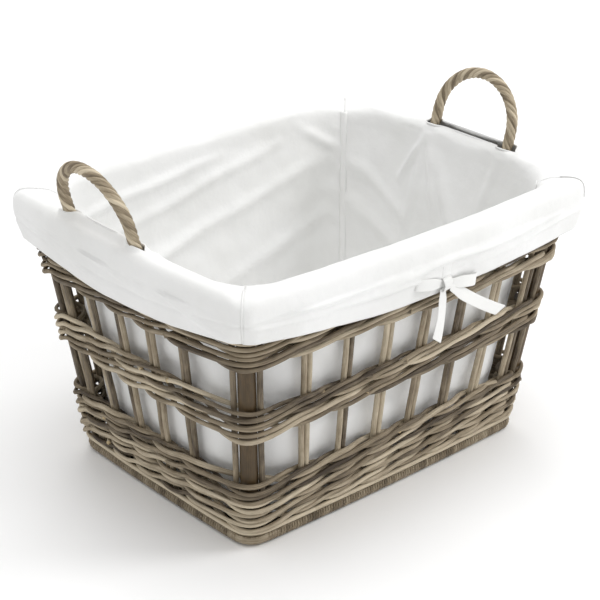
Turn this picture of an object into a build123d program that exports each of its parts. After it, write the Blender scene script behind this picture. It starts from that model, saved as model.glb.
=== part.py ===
"""Woven rattan laundry basket with a lift-out cotton liner, in millimetres.

Frame: origin at the centre of the underside, +X along the long side, -Y is the front with the ribbon,
+Z up. The walls slope outwards, so every size across the basket is worked out for a height z.
"""

from build123d import *
import math
import os

# Overall shape of the woven wall, measured at its outer face
BASE_LENGTH = 420.0
BASE_WIDTH = 309.0
RIM_LENGTH = 497.0
RIM_WIDTH = 393.0
RIM_HEIGHT = 320.0  # top of the liner where it folds over the rim
BASE_BOW = 3.0  # how far each side curves out between its corners, at the base
RIM_BOW = 9.0
CORNER_RADIUS = 24.0
POST_CLEARANCE = 0.6  # between a corner post and the rods behind it

# Rattan
ROD = 4.5  # a weaving rod's depth across the wall
STAKE = 6.5  # diameter of the upright canes
POST = 19.0  # diameter of the corner posts
POST_EASE = 0.5  # that a post stands in from the rods in front of it
CANE_GAP = 0.15  # between canes that lie side by side
PAIR_SPACING = STAKE + 2 * CANE_GAP
LONG_PITCH = 60.0  # between stake pairs along a long side, at the rim
LONG_PAIRS = 7
FRONT_SHIFT = 21.0  # of the middle pair from the centre, at the rim
BACK_SHIFT = -21.0
SHORT_PITCH = 59.5
SHORT_PAIRS = 5
LEFT_SHIFT = 30.0
RIGHT_SHIFT = -22.0

# Heights of the woven bands
BASE_HEIGHT = 16.0
LOWER_TOP = 85.0
LOWER_ROWS = 5
MIDDLE_BOTTOM = 142.0
MIDDLE_TOP = 181.0
MIDDLE_ROWS = 2
UPPER_BOTTOM = 233.0
BORDER_HEIGHT = 14.0  # the plaited border at the top of the wall
UPPER_ROWS = 4
ROW_GAP = 0.3

# Base
FRAME_CANE = 10.0  # side of the hoop's squared cane
BINDING = 3.0  # thickness of the cane wrapped round the hoop
STICK = 6.5
STICKS = 11
STICK_HOLE = STICK + 2 * CANE_GAP
MAT_THICKNESS = 9.0
MAT_LIFT = 4.0  # of the woven mat above the floor

# Handles
HANDLE = 13.5  # diameter of the twisted canes
CORE = 6.5
HANDLE_HEIGHT = 82.0  # of the arch's middle line above the border
HANDLE_STRAIGHT = 26.0  # upright stretch of each leg before the arch
HANDLE_LEAN = 15.0  # degrees outwards

# Liner
CLOTH = 1.2
LINER_GAP = 0.5  # between the liner and the rods, so that it lifts out
FLAP_DROP = 58.0  # how far the turned-over edge hangs down
FLAP_GAP = 0.8
FOLD_RADIUS = 1.0
SLOT_MARGIN = 8.0  # from a handle's leg to the end of its slot
SLOT_EDGE = 1.2  # from a handle's leg to the long edges of its slot
HEM_THICKNESS = 0.9
HEM_WIDTH = 1.6
SEAM_WIDTH = 8.0
SEAM_THICKNESS = 0.9
TOUCH = 0.05  # between sewn pieces that lie on each other

# Ribbon
RIBBON_WIDTH = 14.0
RIBBON_THICKNESS = 0.9
RIBBON_X = 17.0
KNOT_WIDTH = 15.0
KNOT_HEIGHT = 18.0
KNOT_DEPTH = 8.0
LOOP_LENGTH = 42.0
LOOP_DEPTH = 9.0
LOOP_GAP = 1.5  # between the knot and a loop
LEFT_LOOP_RISE = 16.0  # degrees above level
RIGHT_LOOP_RISE = -6.0
LEFT_TAIL = 58.0
RIGHT_TAIL = 98.0
LEFT_TAIL_FALL = 96.0  # degrees below level
RIGHT_TAIL_FALL = 33.0
LEFT_TAIL_ROOT = (-2.0, -1.0)  # across and up from the bottom of the knot's middle
RIGHT_TAIL_ROOT = (KNOT_WIDTH / 2 + 6.0, -4.0)
RIBBON_FORWARD = 1.0  # of the loops and tails from the middle of the knot

WALL = 2 * ROD + STAKE + 2 * CANE_GAP
STAKE_INSET = ROD + CANE_GAP + STAKE / 2
INNER_ROD_INSET = WALL - ROD
POST_INSET = CORNER_RADIUS - (CORNER_RADIUS - ROD - CANE_GAP - POST / 2) / math.sqrt(2) + POST_EASE
POST_TO_CANE = (POST + STAKE) / 2 + CANE_GAP  # between the middles of a post and of a cane beside it
SIDE_CANE_INSET = POST_INSET + math.sqrt(POST_TO_CANE**2 - (POST_INSET - STAKE_INSET) ** 2)
# The inner rods turn the corner behind the post: their outer face clears it on the diagonal, where
# a bowed side takes back a share of the radius.
POST_BACK = POST_INSET + POST / 2 / math.sqrt(2) + POST_CLEARANCE
BOW_SHARE = 4 * RIM_BOW / RIM_LENGTH
INNER_CORNER_RADIUS = (POST_BACK - INNER_ROD_INSET) / (1 - 1 / math.sqrt(2) - BOW_SHARE)
CORNER_RESERVE = SIDE_CANE_INSET + STAKE / 2 + CANE_GAP
BORDER_SINK = 0.4  # how far the border stops below the cloth over the rim
BORDER_TOP = RIM_HEIGHT - CLOTH - BORDER_SINK
LINER_INSET = WALL + LINER_GAP
FLOOR_REST = 2.0  # how far the liner's bottom is above the mat
FLOOR_TOP = MAT_LIFT + MAT_THICKNESS + FLOOR_REST

SIDES = ("front", "right", "back", "left")
SECTOR_LEAD = (RIM_LENGTH + BASE_LENGTH - RIM_WIDTH - BASE_WIDTH) / 4  # where the 45 degree cuts meet
CORNERS = {
    "front_left": (-1, -1),
    "front_right": (1, -1),
    "back_right": (1, 1),
    "back_left": (-1, 1),
}


def half_length(z):
    """Half the basket's length at height z, at the corners of the woven wall's outer face."""
    return (BASE_LENGTH + (RIM_LENGTH - BASE_LENGTH) * z / RIM_HEIGHT) / 2


def half_width(z):
    return (BASE_WIDTH + (RIM_WIDTH - BASE_WIDTH) * z / RIM_HEIGHT) / 2


def bow(z):
    return BASE_BOW + (RIM_BOW - BASE_BOW) * z / RIM_HEIGHT


def bowed(along, half_span, sagitta):
    """How far a side that curves out by sagitta stands beyond its ends, at a distance along it."""
    radius = (half_span**2 + sagitta**2) / (2 * sagitta)
    return sagitta - (radius - math.sqrt(radius**2 - along**2))


def wall_point(side, along, z, inset):
    """The point of a side's wall at a distance along it, inset from the outer face."""
    if side in ("front", "back"):
        sign = -1 if side == "front" else 1
        depth = half_width(z) - inset + bowed(along, half_length(z) - inset, bow(z))
        return along, sign * depth
    sign = -1 if side == "left" else 1
    depth = half_length(z) - inset + bowed(along, half_width(z) - inset, bow(z))
    return sign * depth, along


def along_at(side, along_rim, z):
    """Where something at a distance along the rim stands at height z, as the stakes fan out."""
    half = half_length if side in ("front", "back") else half_width
    return along_rim * (half(z) - CORNER_RESERVE) / (half(RIM_HEIGHT) - CORNER_RESERVE)


def outline(z, inset, radius, level=None):
    """Sketch of the wall's plan at height z: four bowed sides and round corners, drawn at a level."""
    a = half_length(z) - inset
    b = half_width(z) - inset
    s = bow(z)
    with BuildSketch(Plane.XY.offset(z if level is None else level)) as plan:
        with BuildLine():
            ThreePointArc((-a, -b), (0, -b - s), (a, -b))
            ThreePointArc((a, -b), (a + s, 0), (a, b))
            ThreePointArc((a, b), (0, b + s), (-a, b))
            ThreePointArc((-a, b), (-a - s, 0), (-a, -b))
        make_face()
        fillet(plan.vertices(), radius)
    return plan.sketch


def save(piece, name):
    piece.part.label = name
    export_step(piece.part, f"parts/{name}.step")


def ring(low, high, inset, thickness, radius):
    """A sloping band of the wall between two heights, from an inset to inset + thickness."""
    with BuildPart() as band:
        add(outline(low, inset, radius))
        add(outline(high, inset, radius))
        loft()
        add(outline(low, inset + thickness, radius - thickness))
        add(outline(high, inset + thickness, radius - thickness))
        loft(mode=Mode.SUBTRACT)
    return band


def woven_row(name, low, high):
    """One woven row: a band of rods outside the stakes and a band inside them."""
    outer = ring(low, high, 0, ROD, CORNER_RADIUS)
    inner = ring(low, high, INNER_ROD_INSET, ROD, INNER_CORNER_RADIUS)
    with BuildPart() as row:
        add(outer)
        add(inner)
    save(row, name)


def woven_rows():
    lower_pitch = (LOWER_TOP - BASE_HEIGHT) / LOWER_ROWS
    for n in range(LOWER_ROWS):
        low = BASE_HEIGHT + ROW_GAP + n * lower_pitch
        woven_row(f"lower_row_{n + 1}", low, low + lower_pitch - ROW_GAP)
    middle_pitch = (MIDDLE_TOP - MIDDLE_BOTTOM) / MIDDLE_ROWS
    for n in range(MIDDLE_ROWS):
        low = MIDDLE_BOTTOM + n * middle_pitch
        woven_row(f"middle_row_{n + 1}", low, low + middle_pitch - ROW_GAP)
    upper_pitch = (BORDER_TOP - BORDER_HEIGHT - UPPER_BOTTOM) / UPPER_ROWS
    for n in range(UPPER_ROWS):
        low = UPPER_BOTTOM + n * upper_pitch
        woven_row(f"upper_row_{n + 1}", low, low + upper_pitch - ROW_GAP)
    woven_row("rim_border", BORDER_TOP - BORDER_HEIGHT, BORDER_TOP)


def cane(low, high, low_point, high_point, diameter):
    """A leaning cane with level ends, from a point at one height to a point at another."""
    with BuildPart() as rod:
        for z, point in ((low, low_point), (high, high_point)):
            with BuildSketch(Plane.XY.offset(z)):
                with Locations(point):
                    Circle(diameter / 2)
        loft()
    return rod


def stake_offsets(side):
    """The stake pairs of a side, as distances along the rim from its centre."""
    pitch, pairs, shift = {
        "front": (LONG_PITCH, LONG_PAIRS, FRONT_SHIFT),
        "back": (LONG_PITCH, LONG_PAIRS, BACK_SHIFT),
        "left": (SHORT_PITCH, SHORT_PAIRS, LEFT_SHIFT),
        "right": (SHORT_PITCH, SHORT_PAIRS, RIGHT_SHIFT),
    }[side]
    return [shift + pitch * (n - (pairs - 1) / 2) for n in range(pairs)]


def holds_handle(side, n):
    """Whether a handle's leg takes the place of stake pair n at the top of a short side."""
    return side in ("left", "right") and abs(n - (SHORT_PAIRS - 1) / 2) == 1


def stakes(side):
    """The upright canes of one side, in pairs, standing on the base and held between the rods."""
    with BuildPart() as canes:
        for n, along_rim in enumerate(stake_offsets(side)):
            top = UPPER_BOTTOM - ROW_GAP if holds_handle(side, n) else BORDER_TOP
            low = along_at(side, along_rim, BASE_HEIGHT)
            high = along_at(side, along_rim, top)
            for step in (-PAIR_SPACING / 2, PAIR_SPACING / 2):
                foot = wall_point(side, low + step, BASE_HEIGHT, STAKE_INSET)
                tip = wall_point(side, high + step, top, STAKE_INSET)
                add(cane(BASE_HEIGHT, top, foot, tip, STAKE))
    save(canes, f"stakes_{side}")


def corner(name, x_sign, y_sign):
    """A thick corner post and the thin cane at each side of it."""

    heights = (BASE_HEIGHT, BORDER_TOP)
    long_side = "front" if y_sign < 0 else "back"
    short_side = "left" if x_sign < 0 else "right"
    centres = [
        (x_sign * (half_length(z) - POST_INSET), y_sign * (half_width(z) - POST_INSET)) for z in heights
    ]
    post = cane(*heights, *centres, POST)
    save(post, f"corner_post_{name}")
    with BuildPart() as canes:
        for side, sign, half in ((long_side, x_sign, half_length), (short_side, y_sign, half_width)):
            ends = [
                wall_point(side, sign * (half(z) - SIDE_CANE_INSET), z, STAKE_INSET) for z in heights
            ]
            add(cane(*heights, *ends, STAKE))
    save(canes, f"corner_canes_{name}")


def base():
    """The hoop with its wrapped cane, and the woven mat on its sticks."""
    hoop = ring(BINDING, BINDING + FRAME_CANE, BINDING, FRAME_CANE, CORNER_RADIUS - BINDING)
    save(hoop, "base_hoop")
    room = BINDING - CANE_GAP
    hollow = FRAME_CANE + 2 * CANE_GAP
    inside = ring(room, room + hollow, room, hollow, CORNER_RADIUS - room)
    wrap = FRAME_CANE + 2 * BINDING
    with BuildPart() as binding:
        add(ring(0, BASE_HEIGHT, 0, wrap, CORNER_RADIUS))
        add(inside, mode=Mode.SUBTRACT)
    save(binding, "base_binding")

    edge = wrap + CANE_GAP
    mat_top = MAT_LIFT + MAT_THICKNESS
    middle = MAT_LIFT + MAT_THICKNESS / 2
    spacing = 2 * (half_length(0) - edge - CORNER_RADIUS) / (STICKS - 1)
    reach = half_width(0) - edge
    with BuildPart() as sticks:
        for n in range(STICKS):
            x = (n - (STICKS - 1) / 2) * spacing
            end = reach + bowed(x, half_length(0), BASE_BOW)
            with BuildSketch(Plane.XZ.offset(-end)):
                with Locations((x, middle)):
                    Circle(STICK / 2)
            extrude(amount=2 * end)
    save(sticks, "base_sticks")
    with BuildPart() as mat:
        add(outline(MAT_LIFT, edge, CORNER_RADIUS - wrap))
        add(outline(MAT_LIFT, edge, CORNER_RADIUS - wrap, level=mat_top))
        loft()
        with BuildSketch(Plane(origin=(0, BASE_WIDTH, middle), x_dir=(1, 0, 0), z_dir=(0, -1, 0))):
            with GridLocations(spacing, 0, STICKS, 1):
                Circle(STICK_HOLE / 2)
        extrude(amount=2 * BASE_WIDTH, mode=Mode.SUBTRACT)
    save(mat, "base_mat")


def handle_feet(side, shift, z):
    """Where a handle's two legs stand at height z, on the line of the stakes that they replace."""
    offsets = [along_at(side, shift + step, z) for step in (-SHORT_PITCH, SHORT_PITCH)]
    return [Vector(*wall_point(side, along, z, STAKE_INSET), z) for along in offsets]


def handle(side, shift):
    """A fixed arch at one end: a core cane set into the wall, and the canes twisted round it."""
    first, second = handle_feet(side, shift, BORDER_TOP)
    span = second - first
    lean = math.radians(HANDLE_LEAN)
    up = Vector(math.sin(lean) * (-1 if side == "left" else 1), 0, math.cos(lean))
    face = Plane(origin=(first + second) / 2, x_dir=span, z_dir=span.cross(up))
    half_span = span.length / 2
    start = -HANDLE
    with BuildLine(face) as route:
        left_leg = Line((-half_span, start), (-half_span, HANDLE_STRAIGHT))
        EllipticalCenterArc(
            (0, HANDLE_STRAIGHT),
            half_span,
            HANDLE_HEIGHT - HANDLE_STRAIGHT,
            start_angle=0,
            arc_size=180,
        )
        Line((half_span, HANDLE_STRAIGHT), (half_span, start))
    foot = Plane(origin=left_leg @ 0, z_dir=up)

    def tube(diameter):
        with BuildPart() as rod:
            with BuildSketch(foot):
                Circle(diameter / 2)
            sweep(path=route.wires()[0])
            split(bisect_by=Plane.XY.offset(BORDER_TOP), keep=Keep.TOP)
        return rod

    with BuildPart() as twist:
        add(tube(HANDLE))
        add(tube(CORE + 2 * CANE_GAP), mode=Mode.SUBTRACT)
    save(twist, f"handle_{side}_twist")
    with BuildPart() as core:
        add(tube(CORE))
        for low, high in zip(handle_feet(side, shift, UPPER_BOTTOM), (first, second)):
            add(cane(UPPER_BOTTOM, BORDER_TOP, (low.X, low.Y), (high.X, high.Y), CORE))
    save(core, f"handle_{side}_core")


def sector(side, low, high):
    """A block over one side's share of the plan, cut off at 45 degrees through the corners."""
    reach = 2 * RIM_LENGTH
    if side in ("front", "back"):
        sign = -1 if side == "front" else 1
        corners = [
            (-SECTOR_LEAD, 0),
            (-SECTOR_LEAD - reach, sign * reach),
            (SECTOR_LEAD + reach, sign * reach),
            (SECTOR_LEAD, 0),
        ]
    else:
        sign = -1 if side == "left" else 1
        corners = [
            (sign * SECTOR_LEAD, 0),
            (sign * (SECTOR_LEAD + reach), reach),
            (sign * (SECTOR_LEAD + reach), -reach),
        ]
    with BuildPart() as block:
        with BuildSketch(Plane.XY.offset(low)):
            with BuildLine():
                Polyline(*corners, close=True)
            make_face()
        extrude(amount=high - low)
    return block


def liner_walls():
    """The liner's four inner walls, sewn at the corners under a narrow tape, and its floor."""
    top = RIM_HEIGHT - CLOTH
    radius = INNER_CORNER_RADIUS - ROD - LINER_GAP
    shell = ring(FLOOR_TOP, top, LINER_INSET, CLOTH, radius)
    for side in SIDES:
        with BuildPart() as wall:
            add(shell)
            add(sector(side, FLOOR_TOP, top), mode=Mode.INTERSECT)
        save(wall, f"liner_wall_{side}")
    with BuildPart() as floor:
        inset = LINER_INSET + CLOTH + TOUCH
        with BuildSketch(Plane.XY.offset(FLOOR_TOP)):
            add(outline(FLOOR_TOP, inset, radius - CLOTH))
        extrude(amount=CLOTH)
    save(floor, "liner_floor")

    tape_inset = LINER_INSET + CLOTH + TOUCH
    tape_low = FLOOR_TOP + CLOTH + TOUCH
    tape_shell = ring(tape_low, top - TOUCH, tape_inset, SEAM_THICKNESS, radius - CLOTH)
    with BuildPart() as strips:
        for x_sign, y_sign in CORNERS.values():
            angle = math.degrees(math.atan2(y_sign, x_sign))
            with BuildSketch(Plane(origin=(x_sign * SECTOR_LEAD, 0, tape_low)).rotated((0, 0, angle))):
                with Locations((RIM_LENGTH / 2, 0)):
                    Rectangle(RIM_LENGTH, SEAM_WIDTH)
            extrude(amount=top - tape_low)
    with BuildPart() as tapes:
        add(tape_shell)
        add(strips, mode=Mode.INTERSECT)
    save(tapes, "liner_corner_tapes")


def slot_plane(side, shift, z):
    """The level plane of the slot that a handle comes up through, turned in line with its legs."""
    first, second = handle_feet(side, shift, BORDER_TOP)
    middle = (first + second) / 2
    return Plane(origin=(middle.X, middle.Y, z), x_dir=second - first, z_dir=(0, 0, 1))


def turnovers(shifts):
    """The liner's edge, folded over the rim and hanging down outside, one piece for each side."""
    hem = RIM_HEIGHT - FLAP_DROP
    under = RIM_HEIGHT - CLOTH
    outer = -FLAP_GAP - CLOTH
    corner_radius = CORNER_RADIUS + FLAP_GAP + CLOTH
    fold_inset = LINER_INSET + CLOTH
    fold_corner = INNER_CORNER_RADIUS - ROD - LINER_GAP - CLOTH
    with BuildPart() as fold:
        add(outline(RIM_HEIGHT, outer, corner_radius, level=hem))
        extrude(amount=FLAP_DROP)
        add(outline(RIM_HEIGHT, -FLAP_GAP, corner_radius - CLOTH, level=hem))
        extrude(amount=FLAP_DROP - CLOTH, mode=Mode.SUBTRACT)
        add(outline(RIM_HEIGHT, fold_inset, fold_corner, level=under))
        extrude(amount=CLOTH, mode=Mode.SUBTRACT)
        chamfer(fold.faces().sort_by(Axis.Z)[-1].outer_wire().edges(), FOLD_RADIUS)
    length = 2 * SHORT_PITCH + HANDLE + 2 * SLOT_MARGIN
    width = HANDLE + 2 * SLOT_EDGE
    for side in SIDES:
        with BuildPart() as turnover:
            add(fold)
            add(sector(side, hem, RIM_HEIGHT), mode=Mode.INTERSECT)
            if side in shifts:
                with BuildSketch(slot_plane(side, shifts[side], under)):
                    Rectangle(length, width)
                extrude(amount=CLOTH, mode=Mode.SUBTRACT)
        save(turnover, f"turnover_{side}")
    for side, shift in shifts.items():
        with BuildPart() as hemming:
            with BuildSketch(slot_plane(side, shift, RIM_HEIGHT + TOUCH)):
                Rectangle(length + 2 * HEM_WIDTH, width + 2 * HEM_WIDTH)
                Rectangle(length, width, mode=Mode.SUBTRACT)
            extrude(amount=HEM_THICKNESS)
        save(hemming, f"slot_hem_{side}")


def ribbon():
    """The bow at the front: a knot, two loops and two hanging tails."""
    flap_front = wall_point("front", RIBBON_X, RIM_HEIGHT, -FLAP_GAP - CLOTH)[1]
    back_of_knot = flap_front - TOUCH
    knot_z = RIM_HEIGHT - FLAP_DROP + KNOT_HEIGHT / 4
    knot_front = back_of_knot - KNOT_DEPTH
    front = Plane(origin=(RIBBON_X, back_of_knot, knot_z), x_dir=(1, 0, 0), z_dir=(0, -1, 0))
    with BuildPart() as knot:
        with BuildSketch(front):
            RectangleRounded(KNOT_WIDTH, KNOT_HEIGHT, KNOT_WIDTH / 3)
        extrude(amount=KNOT_DEPTH)
        fillet(knot.faces().sort_by(Axis.Y)[0].edges(), KNOT_DEPTH / 4)
    save(knot, "ribbon_knot")

    middle_y = (back_of_knot + knot_front) / 2
    forward_y = middle_y - RIBBON_FORWARD
    for name, sign, rise in (("left", -1, LEFT_LOOP_RISE), ("right", 1, RIGHT_LOOP_RISE)):
        tilt = math.radians(rise)
        across = (sign * math.cos(tilt), 0, math.sin(tilt))
        root = Vector(RIBBON_X, forward_y, knot_z) + Vector(*across) * (KNOT_WIDTH / 2 + LOOP_GAP)
        side = Plane(origin=root, x_dir=across, z_dir=(-sign * math.sin(tilt), 0, math.cos(tilt)))
        with BuildPart() as loop:
            with BuildSketch(side.offset(-RIBBON_WIDTH / 2)):
                with Locations((LOOP_LENGTH / 2, 0)):
                    SlotOverall(LOOP_LENGTH, LOOP_DEPTH)
                    hollow = (LOOP_LENGTH - 2 * RIBBON_THICKNESS, LOOP_DEPTH - 2 * RIBBON_THICKNESS)
                    SlotOverall(*hollow, mode=Mode.SUBTRACT)
            extrude(amount=RIBBON_WIDTH)
        save(loop, f"ribbon_loop_{name}")

    tails = (
        ("left", LEFT_TAIL, LEFT_TAIL_FALL, LEFT_TAIL_ROOT),
        ("right", RIGHT_TAIL, RIGHT_TAIL_FALL, RIGHT_TAIL_ROOT),
    )
    for name, reach, fall, (root_across, root_up) in tails:
        turn = math.radians(fall)
        down = (math.cos(turn), 0, -math.sin(turn))
        root = Vector(RIBBON_X + root_across, forward_y, knot_z - KNOT_HEIGHT / 2 + root_up)
        flat = Plane(origin=root, x_dir=down, z_dir=(0, -1, 0))
        with BuildPart() as tail:
            with BuildSketch(flat):
                with BuildLine():
                    half = RIBBON_WIDTH / 2
                    slant = reach - RIBBON_WIDTH
                    Polyline((0, -half), (reach, -half), (slant, half), (0, half), close=True)
                make_face()
            extrude(amount=RIBBON_THICKNESS)
        save(tail, f"ribbon_tail_{name}")


def main():
    os.makedirs("parts", exist_ok=True)
    base()
    for name, signs in CORNERS.items():
        corner(name, *signs)
    for side in SIDES:
        stakes(side)
    woven_rows()
    handle_shifts = {"left": LEFT_SHIFT, "right": RIGHT_SHIFT}
    for side, shift in handle_shifts.items():
        handle(side, shift)
    liner_walls()
    turnovers(handle_shifts)
    ribbon()


main()
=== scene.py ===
"""Woven rattan laundry basket with a cotton liner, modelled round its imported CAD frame."""

import functools
import math
import random

import bmesh
import bpy
import numpy
from bpy.props import FloatProperty, FloatVectorProperty, PointerProperty
from bpy.types import Operator, Panel, PropertyGroup
from mathutils import Matrix, Vector, noise


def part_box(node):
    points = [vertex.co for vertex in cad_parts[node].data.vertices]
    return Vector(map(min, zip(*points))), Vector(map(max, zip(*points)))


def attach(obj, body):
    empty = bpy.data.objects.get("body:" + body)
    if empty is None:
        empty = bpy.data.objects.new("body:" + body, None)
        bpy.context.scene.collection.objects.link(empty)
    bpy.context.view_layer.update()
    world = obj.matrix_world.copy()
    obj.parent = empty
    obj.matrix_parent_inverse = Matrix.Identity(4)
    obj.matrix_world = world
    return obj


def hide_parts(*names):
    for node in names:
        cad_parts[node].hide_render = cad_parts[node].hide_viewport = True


bl_info = {
    "name": "Woven laundry basket",
    "version": (1, 0, 0),
    "blender": (4, 5, 0),
    "location": "3D View > Sidebar > Basket",
    "description": "Weaves a rattan laundry basket and sews its cotton liner round the CAD frame",
    "category": "Object",
}

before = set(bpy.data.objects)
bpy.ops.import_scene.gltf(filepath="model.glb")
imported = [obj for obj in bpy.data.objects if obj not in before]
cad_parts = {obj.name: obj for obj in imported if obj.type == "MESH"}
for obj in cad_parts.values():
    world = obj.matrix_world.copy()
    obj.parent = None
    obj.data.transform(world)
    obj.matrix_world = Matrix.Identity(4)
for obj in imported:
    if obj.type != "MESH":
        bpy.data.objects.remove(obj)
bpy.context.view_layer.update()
MM = 0.001

# The woven wall: its outer face is read from the lowest and the highest CAD row.
RIM_HEIGHT = 320 * MM
BASE_BOW = 3 * MM
RIM_BOW = 9 * MM
CORNER_RADIUS = 24 * MM
LOW_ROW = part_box("lower_row_1")[1]
HIGH_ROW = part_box("upper_row_4")[1]
SIDES = ("front", "right", "back", "left")
CORNERS = ("front_left", "front_right", "back_right", "back_left")
STAKE_INSET = 7.9 * MM
STAKE_RADIUS = 3.25 * MM
POST_RADIUS = 9.5 * MM
ROW_SETS = {"lower": 5, "middle": 2, "upper": 4}

# The liner: how far its cloth lies inside the wall's outer face, and its height at the top.
CLOTH = 1.2 * MM
WALL_INSET = 17.3 * MM
LINER_RADIUS = 61 * MM
CLOTH_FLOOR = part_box("liner_floor")[1].z
ROLL_START = 300 * MM
HEM_DEPTH = 21 * MM


# ---------------------------------------------------------------- shape of the basket


def bow(z):
    """How far the middle of a side stands out past its corners."""
    return BASE_BOW + (RIM_BOW - BASE_BOW) * z / RIM_HEIGHT


def half_size(axis, z):
    """Half the length (axis 0) or width (axis 1) between the corners at a height."""
    share = (z - LOW_ROW.z) / (HIGH_ROW.z - LOW_ROW.z)
    return LOW_ROW[axis] + (HIGH_ROW[axis] - LOW_ROW[axis]) * share - bow(z)


def side_reach(side, z, inset, radius):
    """Length of cloth or cane from the middle of a side to the middle of its corner."""
    return half_size(side % 2, z) - inset - radius + radius * math.pi / 4


def wall_spot(turn, z, inset, radius=None, level=None):
    """Point that far inside the wall's outer face. turn runs 0 to 8 anticlockwise from the
    front left corner, two to a side, with the corners at even numbers."""
    side, share = int(turn // 2) % 4, turn % 2 - 1
    if radius is None:
        radius = max(CORNER_RADIUS - inset, 2 * MM)
    length, depth = half_size(side % 2, z) - inset, half_size(1 - side % 2, z) - inset
    run = length - radius
    travel = abs(share) * side_reach(side, z, inset, radius)
    along, out = min(travel, run), depth
    if travel > run:
        angle = (travel - run) / radius
        along, out = run + radius * math.sin(angle), depth - radius * (1 - math.cos(angle))
    swell = bow(z)
    along, out = (
        math.copysign(along + swell * (1 - (out / depth) ** 2), share),
        out + swell * (1 - (along / length) ** 2),
    )
    x, y = ((along, -out), (out, along), (-along, out), (-out, -along))[side]
    return Vector((x, y, z if level is None else level))


def outward(turn, z):
    """Level direction square to the wall, away from the basket."""
    step = 0.01
    run = wall_spot(turn + step, z, STAKE_INSET) - wall_spot(turn - step, z, STAKE_INSET)
    return Vector((run.y, -run.x, 0)).normalized()


def turn_at(x, y, z):
    """The turn whose wall point is nearest to a stake's own place."""
    across, deep = half_size(0, z), half_size(1, z)
    if abs(x) / across > abs(y) / deep:
        side, along = (1, y) if x > 0 else (3, -y)
    else:
        side, along = (0, x) if y < 0 else (2, -x)
    reach = side_reach(side, z, STAKE_INSET, CORNER_RADIUS - STAKE_INSET)
    return 2 * side + 1 + along / reach


def cane_axes(name):
    """Lowest and highest centre of every straight cane in a CAD node."""
    bm = bmesh.new()
    bm.from_mesh(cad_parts[name].data)
    bmesh.ops.remove_doubles(bm, verts=bm.verts, dist=0.01 * MM)
    axes = []
    for start in bm.verts:
        if start.tag:
            continue
        start.tag, island, edge = True, [], [start]
        while edge:
            vert = edge.pop()
            island.append(vert.co.copy())
            for link in vert.link_edges:
                other = link.other_vert(vert)
                if not other.tag:
                    other.tag = True
                    edge.append(other)
        ends = []
        for extreme in (min(p.z for p in island), max(p.z for p in island)):
            cap = [p for p in island if abs(p.z - extreme) < 0.05 * MM]
            ends.append(
                Vector([(min(p[i] for p in cap) + max(p[i] for p in cap)) / 2 for i in range(3)])
            )
        axes.append(tuple(ends))
    bm.free()
    return axes


def on_axis(axis, z):
    """Point of a straight cane's centre line at a height."""
    low, high = axis
    return low.lerp(high, (z - low.z) / (high.z - low.z))


def stake_pairs(side):
    """The pairs of stakes of one side, in order along it, each pair as its two axes."""
    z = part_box("middle_row_1")[0].z
    axes = sorted(cane_axes(f"stakes_{side}"), key=lambda a: turn_at(*on_axis(a, z).xy, z))
    return list(zip(axes[0::2], axes[1::2]))


STAKES = {side: stake_pairs(side) for side in SIDES}


def stations(z):
    """Every upright that a woven rod passes at a height: (turn, is it a corner post)."""
    found = [(2.0 * corner, True) for corner in range(4)]
    for side in SIDES:
        for first, second in STAKES[side]:
            middle = (on_axis(first, z) + on_axis(second, z)) / 2
            found.append((turn_at(middle.x, middle.y, z), False))
    return sorted(found)


# ---------------------------------------------------------------- canes


def new_cane_store():
    """An empty mesh under way, which lay_cane adds lengths of cane to."""
    return bmesh.new()


def lay_cane(store, spots, diameter, tone, sides=8, steps=4, thickness=None, kind="NURBS"):
    """Adds one length of cane along the spots. thickness gives each spot's share of diameter."""
    curve = bpy.data.curves.new("cane", "CURVE")
    curve.dimensions = "3D"
    spline = curve.splines.new(kind)
    spline.points.add(len(spots) - 1)
    for number, (point, spot) in enumerate(zip(spline.points, spots)):
        point.co = (*spot, 1)
        point.radius = thickness[number] if thickness else 1
    if kind == "NURBS":
        spline.order_u = min(4, len(spots))
        spline.use_endpoint_u = True
        spline.resolution_u = steps
    curve.bevel_depth = diameter / 2
    curve.bevel_resolution = (sides - 4) // 2
    curve.use_fill_caps = True
    holder = bpy.data.objects.new("cane", curve)
    mesh = bpy.data.meshes.new_from_object(holder)
    length = spline.calc_length()
    corners = len(mesh.loops)
    uv = numpy.zeros(corners * 2, numpy.float32)
    mesh.uv_layers[0].data.foreach_get("uv", uv)
    uv[0::2] *= length
    uv[0::2] += 7 * tone
    uv[1::2] *= math.pi * diameter
    mesh.uv_layers[0].data.foreach_set("uv", uv)
    sizes = numpy.zeros(len(mesh.polygons), numpy.int32)
    mesh.polygons.foreach_get("loop_total", sizes)
    for name, values in (("tone", numpy.full(len(sizes), tone)), ("cut", sizes == 3)):
        layer = mesh.attributes.new(name, "FLOAT", "FACE")
        layer.data.foreach_set("value", values.astype(numpy.float32))
    store.from_mesh(mesh)
    bpy.data.objects.remove(holder)
    bpy.data.curves.remove(curve)
    bpy.data.meshes.remove(mesh)


def finish_piece(bm, name, material, body, replaced=()):
    """Makes the mesh under way a finished piece that rides on its body."""
    mesh = bpy.data.meshes.new(name)
    bm.to_mesh(mesh)
    bm.free()
    mesh.shade_smooth()
    mesh.materials.append(material)
    piece = bpy.data.objects.new(name, mesh)
    bpy.context.scene.collection.objects.link(piece)
    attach(piece, body)
    if replaced:
        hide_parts(*replaced)
    return piece


def place_piece(bm, name, material, body, replaced=()):
    """Turns the faces outwards, and makes the mesh under way a finished piece."""
    bmesh.ops.recalc_face_normals(bm, faces=bm.faces)
    return finish_piece(bm, name, material, body, replaced)


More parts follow.
